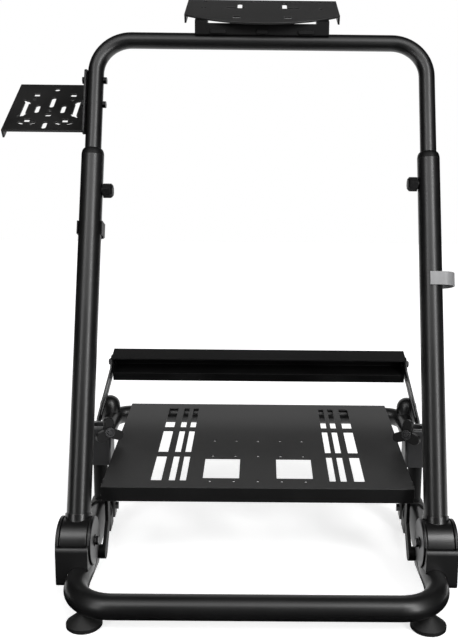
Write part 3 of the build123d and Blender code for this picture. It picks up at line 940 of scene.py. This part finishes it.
@dataclass(frozen=True)
class Flag:
    """A dark card that only reflections see, given by its corners round the stand."""

    name: str
    corners: tuple[Point, ...]


@dataclass(frozen=True)
class Lamp:
    """A rectangular soft lamp, given from the stand's middle, which it faces."""

    name: str
    offset: Point
    size: tuple[float, float]
    power: float

    def hang(self, centre: Vector) -> None:
        """Hang the lamp.

        Args:
            centre: the stand's middle.
        """
        light = bpy.data.lights.new(self.name, "AREA")
        light.shape = "RECTANGLE"
        light.size, light.size_y = self.size
        light.energy = self.power
        place = centre + Vector(self.offset)
        hung = bpy.data.objects.new(self.name, light)
        hung.location = place
        hung.rotation_euler = (centre - place).to_track_quat("-Z", "Y").to_euler()
        bpy.context.scene.collection.objects.link(hung)


FLAG_TOP = 3.2
BACK_LEFT, BACK_RIGHT = (-1.75, 2.6), (1.75, 2.6)
SIDE_LEFT, SIDE_RIGHT = (-2.6, 0.0), (2.6, 0.0)
FRONT_LEFT, FRONT_RIGHT = (-2.2, -2.8), (2.2, -2.8)


def wall(name: str, first: tuple[float, float], second: tuple[float, float]) -> Flag:
    """Stand a flag upright on the floor.

    Args:
        name: the flag's name.
        first: the plan place of its first edge.
        second: the plan place of its other edge.

    Returns:
        The flag.
    """
    return Flag(name, ((*first, 0.0), (*second, 0.0), (*second, FLAG_TOP), (*first, FLAG_TOP)))


FLAGS = (
    wall("flag_back_left", BACK_LEFT, SIDE_LEFT),
    wall("flag_back_right", BACK_RIGHT, SIDE_RIGHT),
    wall("flag_front_left", SIDE_LEFT, FRONT_LEFT),
    wall("flag_front_right", SIDE_RIGHT, FRONT_RIGHT),
    wall("flag_behind_camera", FRONT_LEFT, FRONT_RIGHT),
    Flag("flag_ceiling", ((-2.6, -0.6, 2.9), (2.6, -0.6, 2.9), (2.2, 3.2, 2.5), (-2.2, 3.2, 2.5))),
    Flag(
        "flag_floor",
        ((-2.2, -2.8, 0.002), (2.2, -2.8, 0.002), (2.2, -0.08, 0.002), (-2.2, -0.08, 0.002)),
    ),
)
LAMPS = (
    Lamp("front_box", (0, -1.7, 1.35), (2.4, 0.8), 13.0),
    Lamp("back_box", (0, 2.3, 1.75), (2.6, 0.7), 3.5),
    Lamp("left_strip", (-1.45, -1.9, 0.85), (0.45, 3.0), 21.0),
    Lamp("right_strip", (1.45, -1.9, 0.85), (0.45, 3.0), 50.0),
)


def plain_material(
    name: str, colour: Colour, roughness: float, specular: float
) -> bpy.types.Material:
    """Build a material of the studio.

    Args:
        name: the material's name.
        colour: its base colour.
        roughness: its roughness.
        specular: its specular level.

    Returns:
        The material.
    """
    made = bpy.data.materials.new(name)
    made.use_nodes = True
    surface = made.node_tree.nodes["Principled BSDF"]
    set_inputs(
        surface,
        {"Base Color": (*colour, 1), "Roughness": roughness, "Specular IOR Level": specular},
    )
    return made


def sheet(name: str, corners: Iterable[Point], material: bpy.types.Material) -> bpy.types.Object:
    """Lay one flat sheet of the studio.

    Args:
        name: the sheet's name.
        corners: its corners in order.
        material: the material it takes.

    Returns:
        The new object.
    """
    points = list(corners)
    mesh = bpy.data.meshes.new(name)
    mesh.from_pydata(points, [], [tuple(range(len(points)))])
    mesh.materials.append(material)
    laid = bpy.data.objects.new(name, mesh)
    bpy.context.scene.collection.objects.link(laid)
    return laid


@dataclass
class Studio:
    """Pale floor, soft light and the camera on the driver's side."""

    eye_back: float = 1.13
    eye_height: float = 0.61
    pitch_down: float = math.radians(9.715)
    yaw: float = math.radians(-0.268)
    roll: float = math.radians(-0.587)
    focal_px: float = 799.0
    image_width: int = 458
    image_height: int = 640
    axis_px: float = 264.4
    sensor: float = 36.0
    floor_size: float = 14.0
    floor_grey: float = 0.9
    floor_roughness: float = 0.9
    floor_specular: float = 0.1
    floor_glow: float = 0.68
    glow_near: float = 0.55
    glow_far: float = 1.6
    flag_grey: float = 0.004
    fill: float = 0.2

    def build(self) -> None:
        """Set up the floor, the flags, the world, the lamps and the camera."""
        self._floor()
        self._flags()
        self._world()
        for lamp in LAMPS:
            lamp.hang((CAD_BOX[0] + CAD_BOX[1]) / 2)
        self._camera()

    def _camera(self) -> None:
        """Put the camera where the photograph was taken."""
        knuckle = joint_place("upright_fold")
        lens = bpy.data.cameras.new("driver_view")
        lens.sensor_width = self.sensor
        lens.lens = self.focal_px * self.sensor / self.image_height
        lens.shift_x = (self.image_width / 2 - self.axis_px) / self.image_height
        camera = bpy.data.objects.new("driver_view", lens)
        camera.location = (knuckle.x, knuckle.y - self.eye_back, self.eye_height)
        camera.rotation_euler = (math.pi / 2 - self.pitch_down, self.roll, self.yaw)
        bpy.context.scene.collection.objects.link(camera)
        bpy.context.scene.camera = camera

    def _floor(self) -> None:
        """Lay a pale floor that shows white and keeps the stand's shadow."""
        paper = plain_material(
            "studio_paper", (self.floor_grey,) * 3, self.floor_roughness, self.floor_specular
        )
        tree = paper.node_tree
        surface = tree.nodes["Principled BSDF"]
        glow = node(tree, "ShaderNodeEmission")
        summed = node(tree, "ShaderNodeAddShader")
        strength = math_node(tree, "MULTIPLY", seen_rays(tree), self._glow_fade(tree))
        tree.links.new(strength, glow.inputs["Strength"])
        tree.links.new(surface.outputs[0], summed.inputs[0])
        tree.links.new(glow.outputs[0], summed.inputs[1])
        tree.links.new(summed.outputs[0], tree.nodes["Material Output"].inputs["Surface"])
        reach = self.floor_size / 2
        corners = [(-reach, -reach, 0), (reach, -reach, 0), (reach, reach, 0), (-reach, reach, 0)]
        floor = sheet("studio_floor", corners, paper)

    def _glow_fade(self, tree: Tree) -> Socket:
        """Glow that rises to white away from the stand, where the lamps no longer reach.

        Args:
            tree: the floor material's tree.

        Returns:
            The glow's socket.
        """
        place = node(tree, "ShaderNodeTexCoord")
        away = node(tree, "ShaderNodeVectorMath", operation="LENGTH")
        fade = node(tree, "ShaderNodeMapRange")
        set_inputs(
            fade,
            {
                "From Min": self.glow_near,
                "From Max": self.glow_far,
                "To Min": self.floor_glow,
                "To Max": 1.0,
            },
        )
        tree.links.new(place.outputs["Object"], away.inputs[0])
        tree.links.new(away.outputs["Value"], fade.inputs["Value"])
        return fade.outputs["Result"]

    def _flags(self) -> None:
        """Hang dark cards that only reflections see, so that round tubes keep dark edges."""
        cloth = plain_material("flag_cloth", (self.flag_grey,) * 3, roughness=1.0, specular=0.0)
        for hung in FLAGS:
            flag = sheet(hung.name, hung.corners, cloth)
            flag.visible_camera = flag.visible_diffuse = flag.visible_shadow = False

    def _world(self) -> None:
        """White to the camera and to reflections, and a soft fill for the rest."""
        world = bpy.data.worlds.new("studio")
        world.use_nodes = True
        bpy.context.scene.world = world
        tree = world.node_tree
        sky = tree.nodes["Background"]
        shown = node(tree, "ShaderNodeMix", data_type="FLOAT")
        set_inputs(shown, {"A": self.fill, "B": 1.0})
        set_inputs(sky, {"Color": (1, 1, 1, 1)})
        tree.links.new(seen_rays(tree), shown.inputs["Factor"])
        tree.links.new(shown.outputs["Result"], sky.inputs["Strength"])


def main() -> None:
    """Build every sub-assembly and the studio in order."""
    logging.basicConfig(level=logging.INFO)
    deck, loop, base = WheelDeck(), RearLoop(), Base()
    for built in (base, deck, loop):
        built.build()
    for dressed in (base, Uprights(), UBar(), deck, loop, PedalDeck()):
        dressed.dress()
    Studio().build()
    bpy.context.scene.view_settings.view_transform = "Standard"


if __name__ == "__main__":
    main()
